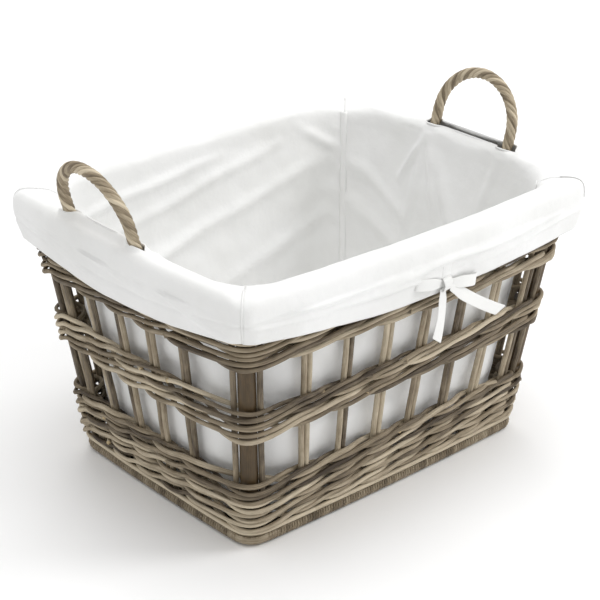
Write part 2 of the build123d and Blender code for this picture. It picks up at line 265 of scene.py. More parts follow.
def place_canes(store, name, material, replaced=()):
    """Closes the cut ends of the canes laid so far and makes them one piece of the basket."""
    bmesh.ops.remove_doubles(store, verts=store.verts, dist=0.001 * MM)
    return place_piece(store, name, material, "basket", replaced)


# ---------------------------------------------------------------- materials


def linear(hex_colour):
    """Linear colour of an sRGB hex value."""
    channels = [int(hex_colour[i : i + 2], 16) / 255 for i in (1, 3, 5)]
    return [c / 12.92 if c <= 0.04045 else ((c + 0.055) / 1.055) ** 2.4 for c in channels]


def add_node(tree, kind, inputs=None, **settings):
    """Adds a node with its settings, and sets or links its inputs."""
    made = tree.nodes.new(kind)
    for name, value in settings.items():
        setattr(made, name, value)
    for socket, value in (inputs or {}).items():
        if isinstance(value, bpy.types.NodeSocket):
            tree.links.new(value, made.inputs[socket])
        else:
            made.inputs[socket].default_value = value
    return made


def new_material(name):
    """A material with only its output, and that output."""
    material = bpy.data.materials.new(name)
    material.use_nodes = True
    material.node_tree.nodes.clear()
    return material, add_node(material.node_tree, "ShaderNodeOutputMaterial")


# Scale at which a wave texture has one band to each unit of length.
WAVES_PER_UNIT = 0.3142


def set_stops(ramp, stops):
    """Gives a colour ramp one stop for each (position, colour)."""
    elements = ramp.color_ramp.elements
    while len(elements) < len(stops):
        elements.new(0.5)
    for stop, (position, colour) in zip(elements, stops):
        stop.position, stop.color = position, (*colour, 1)


# Repeats in a metre, along and across a cane. The fibres are about 35 mm long and 0.9 mm wide,
# coarser than real ones so that they show.
FIBRES, STAINS = (28, 1100), (22, 60)


def cane_material(name, dark, middle, light, cut, uses_uv=True, roughness=0.62):
    """Peeled rattan, weathered: fibres run along the rod, its tone drifts every few
    centimetres, each rod has its own tone, and a cut end shows paler pith."""
    material, output = new_material(name)
    tree = material.node_tree
    source = add_node(tree, "ShaderNodeTexCoord").outputs["UV" if uses_uv else "Object"]
    patterns = []
    for (along, across), detail, rough in ((FIBRES, 3, 0.6), (STAINS, 4, 0.65)):
        scale = (along, across, 1) if uses_uv else (across, across, along)
        place = add_node(tree, "ShaderNodeMapping", {"Vector": source, "Scale": scale})
        inputs = {"Vector": place.outputs[0], "Scale": 1, "Detail": detail, "Roughness": rough}
        patterns.append(add_node(tree, "ShaderNodeTexNoise", inputs).outputs["Fac"])
    fibres, stains = patterns
    tone = stains
    if uses_uv:
        tone = add_node(tree, "ShaderNodeAttribute", attribute_name="tone").outputs["Fac"]
    for pattern, gain, offset, held in ((stains, 0.9, -0.45, False), (fibres, 0.85, -0.42, True)):
        inputs = {0: pattern, 1: gain, 2: offset}
        drift = add_node(tree, "ShaderNodeMath", inputs, operation="MULTIPLY_ADD")
        inputs = {0: tone, 1: drift.outputs[0]}
        tone = add_node(tree, "ShaderNodeMath", inputs, use_clamp=held).outputs[0]
    ramp = add_node(tree, "ShaderNodeValToRGB", {"Fac": tone})
    set_stops(ramp, [(0.08, dark), (0.5, middle), (0.92, light)])
    colour = ramp.outputs["Color"]
    if uses_uv:
        ends = add_node(tree, "ShaderNodeAttribute", attribute_name="cut")
        inputs = {0: ends.outputs["Fac"], 6: colour, 7: (*cut, 1)}
        colour = add_node(tree, "ShaderNodeMix", inputs, data_type="RGBA").outputs[2]
    inputs = {"Value": fibres, "To Min": roughness - 0.14, "To Max": roughness + 0.16}
    gloss = add_node(tree, "ShaderNodeMapRange", inputs)
    inputs = {"Height": fibres, "Strength": 0.5, "Distance": 0.4 * MM}
    relief = add_node(tree, "ShaderNodeBump", inputs)
    inputs = {
        "Base Color": colour,
        "Roughness": gloss.outputs[0],
        "Normal": relief.outputs[0],
        "IOR": 1.5,
        "Specular IOR Level": 0.4,
    }
    shader = add_node(tree, "ShaderNodeBsdfPrincipled", inputs)
    tree.links.new(shader.outputs[0], output.inputs[0])
    return material


def cotton_material(name, colour, shade, thread, roughness, sheen, wrinkle):
    """Plain-woven cloth: crossed threads in the light and a soft crumple left by washing.
    Threads of 0.5 mm are drawn as wide as thread says, so that the weave shows."""
    material, output = new_material(name)
    tree = material.node_tree
    source = add_node(tree, "ShaderNodeTexCoord")
    inputs = {
        "Vector": source.outputs["UV"],
        "Scale": WAVES_PER_UNIT / thread,
        "Distortion": 1.2,
        "Detail": 2,
        "Detail Scale": 0.4,
    }
    warp, weft = (
        add_node(tree, "ShaderNodeTexWave", inputs, bands_direction=direction).outputs["Fac"]
        for direction in ("X", "Y")
    )
    weave = add_node(tree, "ShaderNodeMath", {0: warp, 1: weft}, operation="MULTIPLY")
    cloth = source.outputs["Object"]
    inputs = {"Vector": cloth, "Scale": 38, "Detail": 5, "Roughness": 0.55}
    crumple = add_node(tree, "ShaderNodeTexNoise", inputs)
    blotch = add_node(tree, "ShaderNodeTexNoise", {"Vector": cloth, "Scale": 9, "Detail": 3})
    tint = add_node(tree, "ShaderNodeValToRGB", {"Fac": blotch.outputs["Fac"]})
    set_stops(tint, [(0.3, shade), (0.62, colour)])
    inputs = {"Height": weave.outputs[0], "Strength": 0.25, "Distance": 0.25 * MM}
    fine = add_node(tree, "ShaderNodeBump", inputs)
    inputs = {
        "Height": crumple.outputs["Fac"],
        "Strength": wrinkle,
        "Distance": 3 * MM,
        "Normal": fine.outputs[0],
    }
    soft = add_node(tree, "ShaderNodeBump", inputs)
    inputs = {
        "Base Color": tint.outputs["Color"],
        "Roughness": roughness,
        "Sheen Weight": sheen,
        "Sheen Roughness": 0.4,
        "Normal": soft.outputs[0],
        "Specular IOR Level": 0.25,
    }
    shader = add_node(tree, "ShaderNodeBsdfPrincipled", inputs)
    tree.links.new(shader.outputs[0], output.inputs[0])
    return material


def finish(name):
    """The basket's finishes, made once each from the colours in the side panel."""
    if name in bpy.data.materials:
        return bpy.data.materials[name]
    hues = bpy.context.scene.basket_colours
    pith, white, grey = tuple(hues.cut_end), tuple(hues.cotton), tuple(hues.cotton_shade)
    dark, middle, light = tuple(hues.rattan_dark), tuple(hues.rattan), tuple(hues.rattan_light)
    # painted highlight for the handles: the middle rattan tone raised by a tenth
    brown, lighter = tuple(hues.post), [c * 1.1 for c in middle]
    if name == "weathered_kubu_rattan":
        return cane_material(name, dark, middle, light, pith)
    if name in ("peeled_stake_cane", "split_cane_binding"):
        return cane_material(name, dark, middle, light, pith, roughness=0.55)
    if name == "brown_manau_pole":
        deep, pale = [c * 0.4 for c in brown], [c * 2.1 for c in brown]
        return cane_material(name, deep, brown, pale, pith, roughness=0.5)
    # painted highlight: the handles get a lighter copy of the rattan colours, the middle and light
    # tones raised
    if name == "twisted_handle_rattan":
        return cane_material(name, dark, lighter, [c * 1.12 for c in light], pith)
    if name == "inner_frame_cane":
        return cane_material(name, dark, middle, light, pith, uses_uv=False)
    if name == "washed_cotton":
        return cotton_material(name, white, grey, 1.1 * MM, 0.92, 0.35, 0.5)
    if name == "cotton_tape":
        return cotton_material(name, white, grey, 0.9 * MM, 0.9, 0.25, 0.2)
    return cotton_material(name, tuple(hues.ribbon), grey, 0.7 * MM, 0.48, 0.5, 0.05)


# ---------------------------------------------------------------- weaving


def steady(seed, *values):
    """Smooth unevenness between -1 and 1 that is the same on every run."""
    return noise.noise(Vector((*values, seed * 13.7)))


def sag_share(turn):
    """How much of a row's sag shows at a turn: most at the front right corner."""
    turn %= 8
    if turn < 4:
        return min(smooth_step(turn, 0.3, 1.9), 1 - smooth_step(turn, 2.1, 3.6))
    return 0.7 * min(smooth_step(turn, 5, 6), 1 - smooth_step(turn, 6.1, 7.8))


# How far to each side of a stake or a pole a rod starts to turn round it.
PASS_STAKE, PASS_POST = 9 * MM, 13 * MM
# Inset and corner radius of a rod behind and in front of a corner pole.
BEHIND_POST, OVER_POST = (20 * MM, 21 * MM), (-0.6 * MM, 13 * MM)
BEND, DRIFT, STRAY = 1.9 * MM, 2.0 * MM, 1.4 * MM
NESTLE, ROW_GAP = 0.8 * MM, 0.7 * MM
UPPER_SAG = (9 * MM, 6.5 * MM, 4 * MM, 1.5 * MM)


def wale_row(store, z, height, strands, shift, rng, seed, sag=0.0):
    """Weaves one row: each rod passes behind one upright, comes out low, and climbs across the
    next uprights before it goes in again. Rods are laid in, some with their ends standing out."""
    rod = bpy.context.scene.basket_sizes.rod_diameter
    uprights = stations(z)
    count = len(uprights)
    spread = (height - rod) / (strands - 2)
    levels = [0] + [-(height - rod) / 2 + spread * n for n in range(strands - 1)]
    over_stake = STAKE_INSET - STAKE_RADIUS - rod / 2, None
    behind_stake = STAKE_INSET + STAKE_RADIUS + rod / 2 - NESTLE, None
    length = count * strands // math.gcd(count, strands)

    def upright_at(number):
        """Turn of an upright, counted on round the basket, and whether it is a pole."""
        turn, is_post = uprights[number % count]
        return turn + 8 * (number // count), is_post

    def reach_at(turn):
        return side_reach(int(turn // 2) % 4, z, STAKE_INSET, 16 * MM)

    def spot(turn, inset, lift, radius=None):
        bend = steady(seed, turn * 2.3, lift * 90)
        drift = steady(seed + 40, turn * 0.9, 0)
        looseness = 1.35 if turn % 8 > 6 else 1.0
        level = z + (lift + BEND * bend + DRIFT * drift) * looseness
        level -= sag * sag_share(turn)
        inset += STRAY * steady(seed + 80, turn * 2.9, lift * 120)
        return wall_spot(turn, level, inset, radius)

    def rod_spots(order, last, offset):
        """Where a rod lies at each upright from one number to another, and between them."""
        spots = []
        for number in range(order, last + 1):
            turn, is_post = upright_at(number)
            ahead, post_ahead = upright_at(number + 1)
            phase = (number + offset) % strands
            reach = reach_at(turn)
            wide = (PASS_POST if is_post else PASS_STAKE) / reach
            wide_ahead = (PASS_POST if post_ahead else PASS_STAKE) / reach
            lift = levels[phase]
            if phase:
                inset, radius = OVER_POST if is_post else over_stake
            else:
                inset, radius = BEHIND_POST if is_post else behind_stake
            spots.append(spot(turn - wide, inset, lift, radius))
            spots.append(spot(turn + wide, inset, lift, radius))
            if number == last:
                break
            middle = (turn + wide + ahead - wide_ahead) / 2
            step = (phase + 1) % strands
            if phase == 0:
                spots.append(spot(middle, STAKE_INSET, levels[1] * 0.9))
            elif step == 0:
                spots.append(spot(middle, STAKE_INSET, levels[-1] * 0.9))
            else:
                lift = (levels[phase] + levels[step]) / 2
                spots.append(spot(middle, inset - NESTLE, lift))
        return spots

    for loop in range(math.gcd(count, strands)):
        order = 0
        while (order + shift + loop) % strands:
            order += 1
        finish_order = order + length
        while order < finish_order:
            rounds = rng.randint(3, 5) if strands == 3 else rng.randint(2, 4)
            last = min(order + rounds * strands, finish_order)
            if finish_order - last < strands:
                last = finish_order
            spots = rod_spots(order, last, shift + loop)
            first, first_post = upright_at(order)
            end, end_post = upright_at(last)
            reach = reach_at(end)
            if not first_post and rng.random() < 0.3:
                early = first - rng.uniform(20, 30) * MM / reach
                spots.insert(0, spot(early, rng.uniform(-1, 4) * MM, -rng.uniform(1, 4) * MM))
            if not end_post and rng.random() < 0.45:
                late = end + rng.uniform(22, 34) * MM / reach
                spots.append(spot(late, rng.uniform(-2.5, 3) * MM, rng.uniform(0, 4) * MM))
            swell = [rng.uniform(0.93, 1.06) for _ in spots]
            diameter = rod * rng.uniform(0.84, 1.14)
            lay_cane(store, spots, diameter, rng.uniform(0.1, 0.95), thickness=swell)
            order = last


def plain_rod(store, z, inset, diameter, tones, rng):
    """Runs three plain rods round the outside of the uprights, lapped end to end."""
    parts, steps = 3, 40
    for part in range(parts):
        start, stop = 8 * part / parts + 0.35, 8 * (part + 1) / parts + 0.42
        spots = []
        for step in range(steps + 1):
            turn = start + (stop - start) * step / steps
            level = z + 0.8 * MM * steady(part + 5, turn * 2, 0)
            spots.append(wall_spot(turn, level, inset + 0.5 * MM * steady(part, turn * 3, 1)))
        lay_cane(store, spots, diameter, rng.uniform(*tones))


def build_rows():
    """One piece for each woven row, named for the CAD row that it stands for."""
    rng = random.Random(11)
    rod = bpy.context.scene.basket_sizes.rod_diameter
    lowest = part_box("lower_row_1")[0].z
    shift = 0
    for band, rows in ROW_SETS.items():
        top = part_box(f"{band}_row_{rows}")[1].z
        bottom = lowest + rod if band == "lower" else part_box(f"{band}_row_1")[0].z
        pitch = (top - bottom) / rows
        strands = 3 if band == "lower" else 4
        for row in range(rows):
            store = new_cane_store()
            if shift == 0:
                plain_rod(store, lowest + rod / 2, 2 * MM, rod, (0.75, 0.98), rng)
            middle = bottom + pitch * (row + 0.5)
            sag = UPPER_SAG[row] if band == "upper" else 0.0
            seed = 10 * shift + row
            wale_row(store, middle, pitch - ROW_GAP, strands, shift, rng, seed, sag)
            node = f"{band}_row_{row + 1}"
            rattan = finish("weathered_kubu_rattan")
            place_canes(store, f"woven_{node}", rattan, [node])
            shift += 1


def build_border():
    """The rim's border, a wale that closes the weave under the liner."""
    store = new_cane_store()
    low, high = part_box("rim_border")
    wale_row(store, (low.z + high.z) / 2, high.z - low.z - 1 * MM, 3, 1, random.Random(31), 77)
    rattan = finish("weathered_kubu_rattan")
    place_canes(store, "woven_rim_border", rattan, ["rim_border"])


def upright(store, axis, diameter, tone, seed, sides=10, wobble=0.5):
    """One upright cane, a little crooked and uneven, from end to end of its CAD axis."""
    low, high = axis
    steps = 14
    spots, swell = [], []
    for step in range(steps + 1):
        spot = low.lerp(high, step / steps)
        bend = wobble * MM * math.sin(math.pi * step / steps)
        spot.x += bend * steady(seed, step * 0.45, 0)
        spot.y += bend * steady(seed, step * 0.45, 5)
        spots.append(spot)
        swell.append(1 + 0.04 * steady(seed, step * 0.9, 9))
    lay_cane(store, spots, diameter, tone, sides=sides, thickness=swell)


def build_stakes():
    """The pairs of stakes, one piece a side, and the canes beside the corner posts."""
    rng = random.Random(5)
    material = finish("peeled_stake_cane")
    for side in SIDES:
        store = new_cane_store()
        for pair in STAKES[side]:
            for axis in pair:
                tone = rng.uniform(0.22, 0.8)
                upright(store, axis, 2 * STAKE_RADIUS, tone, rng.random() * 50, wobble=1.6)
        place_canes(store, f"stake_canes_{side}", material, [f"stakes_{side}"])
    store = new_cane_store()
    for corner in CORNERS:
        for axis in cane_axes(f"corner_canes_{corner}"):
            upright(store, axis, 2 * STAKE_RADIUS, rng.uniform(0.15, 0.5), rng.random() * 50)
    nodes = [f"corner_canes_{corner}" for corner in CORNERS]
    place_canes(store, "corner_side_canes", material, nodes)


def build_posts():
    """The thick corner poles."""
    store = new_cane_store()
    for number, corner in enumerate(CORNERS):
        for axis in cane_axes(f"corner_post_{corner}"):
            upright(store, axis, 2 * POST_RADIUS, 0.42 + 0.05 * number, number, 24, 0.3)
    nodes = [f"corner_post_{corner}" for corner in CORNERS]
    place_canes(store, "corner_poles", finish("brown_manau_pole"), nodes)


def bind_hoop(rng):
    """The bound hoop that the basket stands on: split cane wound round it."""
    low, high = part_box("base_binding")
    middle, girth = (low.z + high.z) / 2, (high.z - low.z) / 2
    wrap, pitch, per_wrap, wraps_a_length = 3.3 * MM, 3.7 * MM, 10, 3
    radius = girth - wrap / 2
    store = new_cane_store()
    turn, angle, spots = 0.09, 0.0, []
    while turn < 7.91:
        reach = side_reach(int(turn // 2) % 4, middle, girth, CORNER_RADIUS - girth)
        centre = wall_spot(turn, middle, girth)
        lean = outward(turn, middle)
        rise = Vector((0, 0, radius * math.sin(angle)))
        spots.append(centre + lean * radius * math.cos(angle) + rise)
        if len(spots) > per_wrap * wraps_a_length:
            lay_cane(store, spots, wrap, rng.uniform(0.32, 0.62), sides=6, kind="POLY")
            spots = spots[-2:]
        angle += 2 * math.pi / per_wrap
        turn += pitch / per_wrap / reach
    lay_cane(store, spots, wrap, 0.5, sides=6, kind="POLY")
    bare = [wall_spot(-0.16 + 0.04 * n, middle, girth) for n in range(9)]
    lay_cane(store, bare, 2 * girth - 1.5 * MM, 0.62, sides=16)
    split_cane = finish("split_cane_binding")
    place_canes(store, "base_cane_binding", split_cane, ["base_binding"])


def stick_places():
    """Where the sticks of the bottom lie along X."""
    bm = bmesh.new()
    bm.from_mesh(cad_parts["base_sticks"].data)
    places = sorted({round(v.co.x, 4) for v in bm.verts})
    bm.free()
    sticks = []
    for x in places:
        if not sticks or x - sticks[-1][-1] > 4 * MM:
            sticks.append([])
        sticks[-1].append(x)
    return [(group[0] + group[-1]) / 2 for group in sticks]


def weave_bottom(rng):
    """The woven bottom: strands over and under the sticks, one beside the other."""
    low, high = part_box("base_mat")
    level, strand, lift = (low.z + high.z) / 2, 4.4 * MM, 3.6 * MM
    sticks = stick_places()
    store = new_cane_store()
    lines = int((high.y - low.y) / (strand * 1.08))
    for line in range(lines):
        y = low.y + (high.y - low.y) * (line + 0.5) / lines
        edge = high.x - 2 * MM - max(0.0, 16 * MM - (high.y - abs(y)))
        over = 1 if line % 2 else -1
        spots = [Vector((-edge, y, level))]
        for number, x in enumerate(sticks):
            rise = over * (1 if number % 2 else -1) * lift
            spots.append(Vector((x, y + 0.4 * MM * steady(line, x * 20, 0), level + rise)))
        spots.append(Vector((edge, y, level)))
        lay_cane(store, spots, strand, rng.uniform(0.25, 0.8), sides=6, steps=3)
    place_canes(store, "base_weave", finish("weathered_kubu_rattan"), ["base_mat"])


def build_base():
    """The bound hoop and the woven bottom."""
    rng = random.Random(3)
    bind_hoop(rng)
    weave_bottom(rng)


# The handles rise straight this far from their feet, and their strands start below them.
HANDLE_STRAIGHT, HANDLE_DROP = 26 * MM, 12 * MM
ROPE, ROPE_STRAND, ROPE_PITCH = 13.6 * MM, 5.3 * MM, 46 * MM


def handle_line(side, spacing):
    """Points a spacing apart along a handle's arch, its direction at each, and its plane's
    normal."""
    core_low, core_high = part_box(f"handle_{side}_core")
    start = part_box(f"handle_{side}_twist")[0].z
    sign = 1 if side == "right" else -1
    middle_y = (core_low.y + core_high.y) / 2
    half = (core_high.y - core_low.y) / 2 - STAKE_RADIUS
    feet = []
    for y in (middle_y - half, middle_y + half):
        turn = turn_at(sign * half_size(0, start), y, start)
        spot = wall_spot(turn, start, STAKE_INSET)
        feet.append(Vector((spot.x, y, start)))
    middle = (feet[0] + feet[1]) / 2
    outer = core_high.x if side == "right" else core_low.x
    top = Vector((outer - sign * STAKE_RADIUS, middle_y, core_high.z - STAKE_RADIUS))
    up = top - middle
    height, up = up.length, up.normalized()
    straight, across = HANDLE_STRAIGHT, (feet[0] - feet[1]) / 2
    line = [feet[0] - up * HANDLE_DROP, feet[0] + up * straight]
    arch = 48
    for step in range(1, arch + 1):
        angle = math.pi * step / arch
        rise = up * (straight + (height - straight) * math.sin(angle))
        line.append(middle + rise + across * math.cos(angle))
    line.append(feet[1] - up * HANDLE_DROP)
    lengths = [0.0]
    for first, second in zip(line, line[1:]):
        lengths.append(lengths[-1] + (second - first).length)
    places, at, travel = [], 0, 0.0
    while travel < lengths[-1]:
        while lengths[at + 1] < travel:
            at += 1
        share = (travel - lengths[at]) / (lengths[at + 1] - lengths[at])
        places.append(line[at].lerp(line[at + 1], share))
        travel += spacing
    normal = across.cross(up).normalized()
    ways = [
        (places[min(n + 1, len(places) - 1)] - places[max(n - 1, 0)]).normalized()
        for n in range(len(places))
    ]
    return places, ways, normal


def build_handles():
    """The twisted arches: strands laid round a core cane like a rope."""
    rng = random.Random(23)
    strands, spacing = 6, 3 * MM
    radius = (ROPE - ROPE_STRAND) / 2
    for side in ("left", "right"):
        places, ways, normal = handle_line(side, spacing)
        store = new_cane_store()
        for number in range(strands):
            spots = []
            for step, (place, way) in enumerate(zip(places, ways)):
                angle = -2 * math.pi * (step * spacing / ROPE_PITCH + number / strands)
                angle += 0.12 * steady(number, step * 0.2, 3)
                beside = normal.cross(way)
                spots.append(place + radius * (beside * math.cos(angle) + normal * math.sin(angle)))
            diameter = ROPE_STRAND * rng.uniform(0.93, 1.04)
            lay_cane(store, spots, diameter, rng.uniform(0.35, 0.85), steps=2)
        rattan, node = finish("twisted_handle_rattan"), f"handle_{side}_twist"
        place_canes(store, f"handle_{side}_rope", rattan, [node])


def dress_frame():
    """Gives the CAD canes that still show their own finish."""
    for name in ("base_hoop", "base_sticks", "handle_left_core", "handle_right_core"):
        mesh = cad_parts[name].data
        mesh.materials.clear()
        mesh.materials.append(finish("inner_frame_cane"))


# ---------------------------------------------------------------- liner

# The roll over the rim, in mm, as height, inset and corner radius: inside up to the slit, then
# from the slit out. The wall takes ROLL_SHARE of cloth up to the slit, and the flap as much again.
ROLL_IN = [
    (300, 17.3, 61),
    (310, 18.2, 59),
    (317.5, 17.6, 54),
    (321.8, 14.2, 46),
    (323.4, 9.5, 39),
    (323.6, 7.5, 36),
]
ROLL_OUT = [
    (323.6, 7.5, 36),
    (323.8, 3.0, 27),
    (322.2, -2.2, 21),
    (317.5, -5.8, 17),
    (309, -7.0, 15),
    (300, -7.0, 14),
]
# Hem heights at even steps along each side.
HEMS = {
    "front": (275, 266, 258.5, 257, 259, 262, 267),
    "right": (267, 262, 258, 258, 260, 264, 270),
    "back": (270, 264, 260, 258, 260, 264, 270),
    "left": (270, 265, 261, 260, 262, 268, 275),
}
# Folds of each wall and flap: from and to (along X or Y, height), width and depth, in mm.
WALL_FOLDS = {
    "front": [(-150, 290, 60, 230, 14, 3), (40, 250, 190, 180, 16, 3), (-120, 140, 90, 110, 18, 3)],
    "right": [
        (36, 318, 74, 250, 6, 4.5),
        (38, 316, 58, 170, 9, 3.2),
        (34, 316, 8, 215, 8, 3.5),
        (28, 310, -34, 190, 11, 3),
        (165, 262, 60, 205, 10, 2.6),
        (165, 215, 40, 150, 13, 2.6),
        (-82, 316, -60, 240, 8, 2.5),
        (-120, 250, -20, 120, 14, 2.6),
    ],
    "back": [
        (-210, 268, 30, 300, 7, 3.2),
        (-190, 236, 120, 288, 9, 3.4),
        (-120, 190, 190, 262, 11, 3.2),
        (-190, 168, -10, 216, 12, 3),
        (-20, 128, 180, 190, 13, 3),
        (150, 310, 215, 262, 8, 2.6),
    ],
    "left": [(-30, 316, -80, 240, 9, 3), (88, 316, 130, 230, 9, 3), (-100, 200, 80, 150, 16, 3)],
}
FLAP_FOLDS = {
    "front": [
        (-245, 302, -40, 293, 4.5, 2.6),
        (-90, 288, 200, 296, 4.5, 2.8),
        (-235, 291, 30, 276, 4, 2.2),
        (60, 304, 245, 307, 4.5, 2.4),
        (60, 278, 240, 291, 4.5, 2.6),
    ],
    "right": [(-180, 298, 0, 288, 5, 1.8), (-20, 280, 170, 296, 5, 1.8)],
    "back": [(-230, 298, 20, 286, 5, 1.8), (-30, 279, 220, 296, 5, 1.8)],
    "left": [
        (-34, 318, -130, 296, 5, 2.4),
        (-40, 310, -180, 278, 5, 1.8),
        (96, 308, -60, 284, 5, 1.8),
        (170, 292, 0, 270, 5, 1.4),
    ],
}
WALL_ROWS, ROLL_ROWS, FLAP_ROWS, PANEL_COLUMNS = 84, 14, 24, 168
ROLL_SHARE = 30 * MM
SLIT_MERGE = 0.3 * MM
SEAM_THREAD, HEM_CORD = 1.6 * MM, 2.2 * MM
TAPE_TOP, HALF_TAPE, PLACKET_PLACE = 316 * MM, 4.5 * MM, 17
TRIM_THICKNESS = 0.9 * MM


def smooth_step(value, start, stop):
    """0 before start, 1 after stop, and smooth between them."""
    share = min(1.0, max(0.0, (value - start) / (stop - start)))
    return share * share * (3 - 2 * share)


def knot_curve(knots, share):
    """Point of the smooth curve through the knots."""
    place = min(max(share, 0.0), 1.0) * (len(knots) - 1)
    first = min(int(place), len(knots) - 2)
    part = place - first
    before, here, there, beyond = (
        Vector(knots[min(max(first + step, 0), len(knots) - 1)]) for step in (-1, 0, 1, 2)
    )
    return 0.5 * (
        2 * here
        + (there - before) * part
        + (2 * before - 5 * here + 4 * there - beyond) * part**2
        + (3 * here - before - 3 * there + beyond) * part**3
    )


def hem_height(side, share):
    """Height of the flap's hem, share from -1 to 1 along the side."""
    knots = [(z, 0, 0) for z in HEMS[SIDES[side]]]
    return knot_curve(knots, (share + 1) / 2).x * MM


def along_side(side, spot):
    """Distance of a point along a side in the panel's own direction."""
    return (spot.x, spot.y, -spot.x, -spot.y)[side]


@functools.cache
def handle_feet(side):
    """Where the handle's feet stand along a short side, in the panel's own direction."""
    name = SIDES[side]
    if name not in ("left", "right"):
        return []
    low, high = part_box(f"handle_{name}_core")
    ends = (low.y + STAKE_RADIUS, high.y - STAKE_RADIUS)
    return sorted(y if name == "right" else -y for y in ends)


def slot_opening(side, along):
    """How far the slit in the turned-over edge stands open: 1 at a foot, 0 past the slot,
    and a little between the feet. The second value is 1 between the feet."""
    feet = handle_feet(side)
    if not feet:
        return 0.0, 0.0
    near = min(abs(along - foot) for foot in feet)
    gap = 1 - smooth_step(near, 6 * MM, 15 * MM)
    between = smooth_step(along, feet[0], feet[0] + 14 * MM) * (
        1 - smooth_step(along, feet[1] - 14 * MM, feet[1])
    )
    return gap, between


def fold_depth(folds, side, spot, height):
    """Sum of the folds at a point of the cloth, in metres."""
    along = (spot.y if side % 2 else spot.x) / MM
    level = height / MM
    total = 0.0
    for start_along, start_level, end_along, end_level, width, depth in folds:
        run, rise = end_along - start_along, end_level - start_level
        share = ((along - start_along) * run + (level - start_level) * rise) / (run**2 + rise**2)
        held = min(1.0, max(0.0, share))
        away = math.hypot(
            along - start_along - run * held,
            level - start_level - rise * held - 5 * steady(width, along * 0.012, depth),
        )
        total += 1.5 * depth * math.exp(-((1.25 * away / width) ** 2)) * (
            0.4 + 0.6 * math.sin(math.pi * held)
        )
    return total * MM


def cloth_spot(side, share, row, part):
    """Unfolded place of the liner at a share of its side and a row of its grid, and the length
    of cloth up to there. part is wall or flap."""
    turn = 2 * side + 1 + share
    if part == "wall" and row <= WALL_ROWS:
        z = CLOTH_FLOOR + (ROLL_START - CLOTH_FLOOR) * row / WALL_ROWS
        return wall_spot(turn, z, WALL_INSET, LINER_RADIUS), z
    if part == "wall":
        near = (row - WALL_ROWS) / ROLL_ROWS
        z, inset, radius = knot_curve(ROLL_IN, near) * MM
        travel = ROLL_START + near * ROLL_SHARE
    elif row <= ROLL_ROWS:
        near = 1 - row / ROLL_ROWS
        z, inset, radius = knot_curve(ROLL_OUT, 1 - near) * MM
        travel = ROLL_START + (2 - near) * ROLL_SHARE
    else:
        down = (row - ROLL_ROWS) / FLAP_ROWS
        hem = hem_height(side, share)
        z = ROLL_START + (hem - ROLL_START) * down
        inset, radius, near = (-7.0 + 5.0 * down**1.5) * MM, (14 + 6 * down) * MM, 0
        travel = 2 * ROLL_START + 2 * ROLL_SHARE - z
    base = wall_spot(turn, min(z, RIM_HEIGHT), inset, radius)
    gap, between = slot_opening(side, along_side(side, base))
    pull = near * near
    if part == "wall":
        inset += pull * (gap * 7.8 + between * (1 - gap) * 0.8) * MM
        z += pull * (gap * 2.5 + between * (1 - gap) * 1.0) * MM
    else:
        inset -= pull * (gap * 8.3 + between * (1 - gap) * 0.8) * MM
        z += smooth_step(near, 0.7, 1.0) * (between * (1 - gap) * 7.5 + gap * 5.5) * MM
    outline = min(z, RIM_HEIGHT) if part == "wall" else RIM_HEIGHT
    return wall_spot(turn, outline, inset, radius, level=z), travel


def cloth_relief(side, share, spot, row, part):
    """How far the cloth stands off its unfolded place, in metres."""
    name = SIDES[side]
    along, level = along_side(side, spot), spot.z
    reach = side_reach(side, min(level, RIM_HEIGHT), WALL_INSET, LINER_RADIUS)
    seam = (1 - abs(share)) * reach
    seam_pull = math.exp(-((seam / (7 * MM)) ** 2))
    seed = side * 3.1
    if part == "wall" and row <= WALL_ROWS + 5:
        slack = smooth_step(level, CLOTH_FLOOR, CLOTH_FLOOR + 40 * MM)
        slack *= 1 - 0.6 * smooth_step(level, 290 * MM, 318 * MM)
        soft = 2.2 * MM * (0.6 + steady(seed, along * 9, level * 11))
        crumple = 1.2 * MM * steady(seed + 4, along * 42, level * 48)
        pucker = 1.3 * MM * math.exp(-((seam / (26 * MM)) ** 2)) * steady(seed, 3, level * 75)
        folds = fold_depth(WALL_FOLDS[name], side, spot, level)
        return slack * max(0.0, soft + crumple + pucker + folds) * (1 - 0.7 * seam_pull)
    if part == "wall" or row <= ROLL_ROWS:
        soft = 0.9 * MM * steady(seed + 9, along * 13, level * 20)
        crumple = 0.35 * MM * steady(seed + 2, along * 60, level * 60)
        pinch = 0.0
        for foot in handle_feet(side):
            past = abs(along - foot)
            pinch += 1.6 * MM * math.exp(-((past - 22 * MM) / (8 * MM)) ** 2 / 2)
        return soft + crumple + pinch - 1.1 * MM * seam_pull
    down = smooth_step(ROLL_START - level, 0, 12 * MM)
    hem = hem_height(side, share)
    soft = (0.7 + 1.2 * down) * MM * (0.45 + steady(seed + 6, along * 10, level * 14))
    crumple = 0.5 * MM * steady(seed + 3, along * 55, level * 60)
    folds = fold_depth(FLAP_FOLDS[name], side, spot, level)
    above_hem = level - hem
    channel = -0.9 * MM * math.exp(-(((above_hem - HEM_DEPTH) / (2.2 * MM)) ** 2))
    edge = 0.5 * MM * math.exp(-((above_hem / (3 * MM)) ** 2))
    return max(-0.3 * MM, soft + crumple + folds) + channel + edge - 0.8 * MM * seam_pull


def lay_cloth_map(bm, flat):
    """Gives every corner of every face the cloth coordinates that flat works out from its vert."""
    uv = bm.loops.layers.uv.new("UVMap")
    for face in bm.faces:
        for loop in face.loops:
            loop[uv].uv = flat(loop.vert)


def thicken(piece, thickness, offset=0):
    """Gives a sheet of cloth its thickness."""
    skin = piece.modifiers.new("cloth thickness", "SOLIDIFY")
    skin.thickness, skin.offset = thickness, offset


